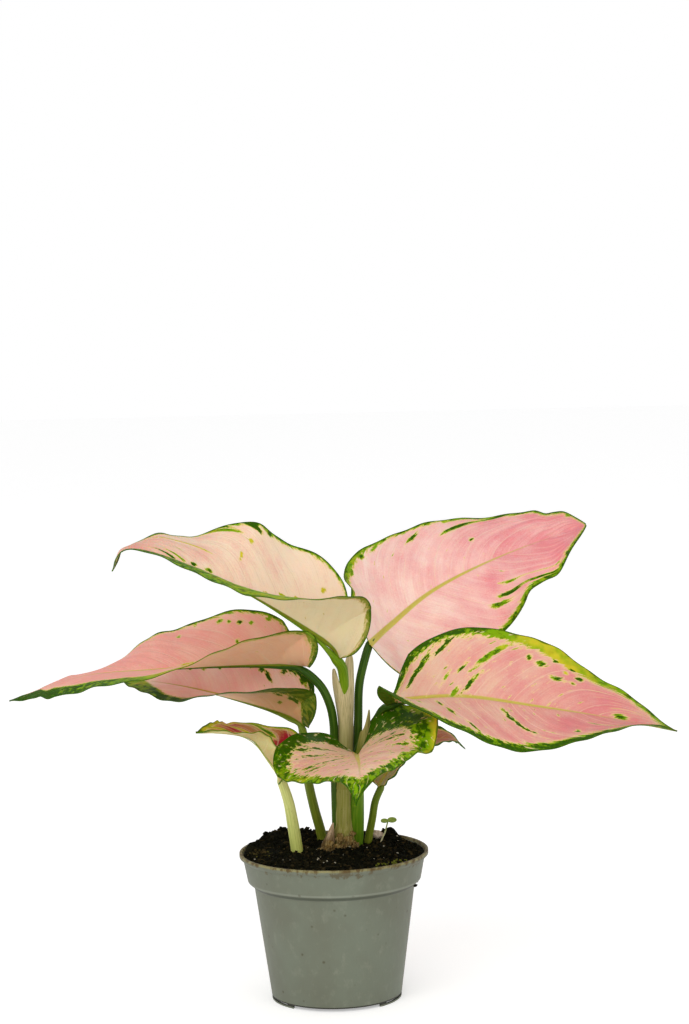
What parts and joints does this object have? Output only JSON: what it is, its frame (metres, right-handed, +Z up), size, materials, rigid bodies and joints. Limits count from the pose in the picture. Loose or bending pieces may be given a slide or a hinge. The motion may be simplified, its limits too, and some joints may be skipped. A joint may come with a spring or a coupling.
{
  "type": "potted chinese evergreen",
  "caption": "Broad waved pink leaves with green margins on slim stalks round a short sheathed stem, rooted in soil in a plain thin-walled nursery pot.",
  "frame": {"origin": "centre of the pot's flat underside", "axes": "+Z up, +X to the right and +Y to the back as seen from the front"},
  "size_m": [0.4155, 0.258, 0.3074],
  "materials": {
    "blade": "satin",
    "stalk": "satin",
    "sheath": "satin",
    "stem": "matte",
    "seedling": "satin",
    "soil": "matte",
    "pebble": "matte",
    "pot": "satin"
  },
  "bodies": {
    "root": {"pot": "pot", "soil": "soil", "pebble": "pebble", "seedling": "seedling", "stem": "stem", "sheath_centre": "sheath", "sheath_side": "sheath", "base_bud": "stem", "petiole_upper_right": "stalk", "petiole_upper_left": "stalk", "petiole_left_high": "stalk", "petiole_left_low": "stalk", "petiole_right": "stalk", "petiole_front": "stalk", "petiole_low_left": "stalk", "petiole_low_right": "stalk", "blade_upper_right": "blade", "blade_upper_left": "blade", "blade_left_high": "blade", "blade_left_low": "blade", "blade_right": "blade", "blade_front": "blade", "blade_low_left": "blade", "blade_low_right": "blade"}
  },
  "joints": []
}
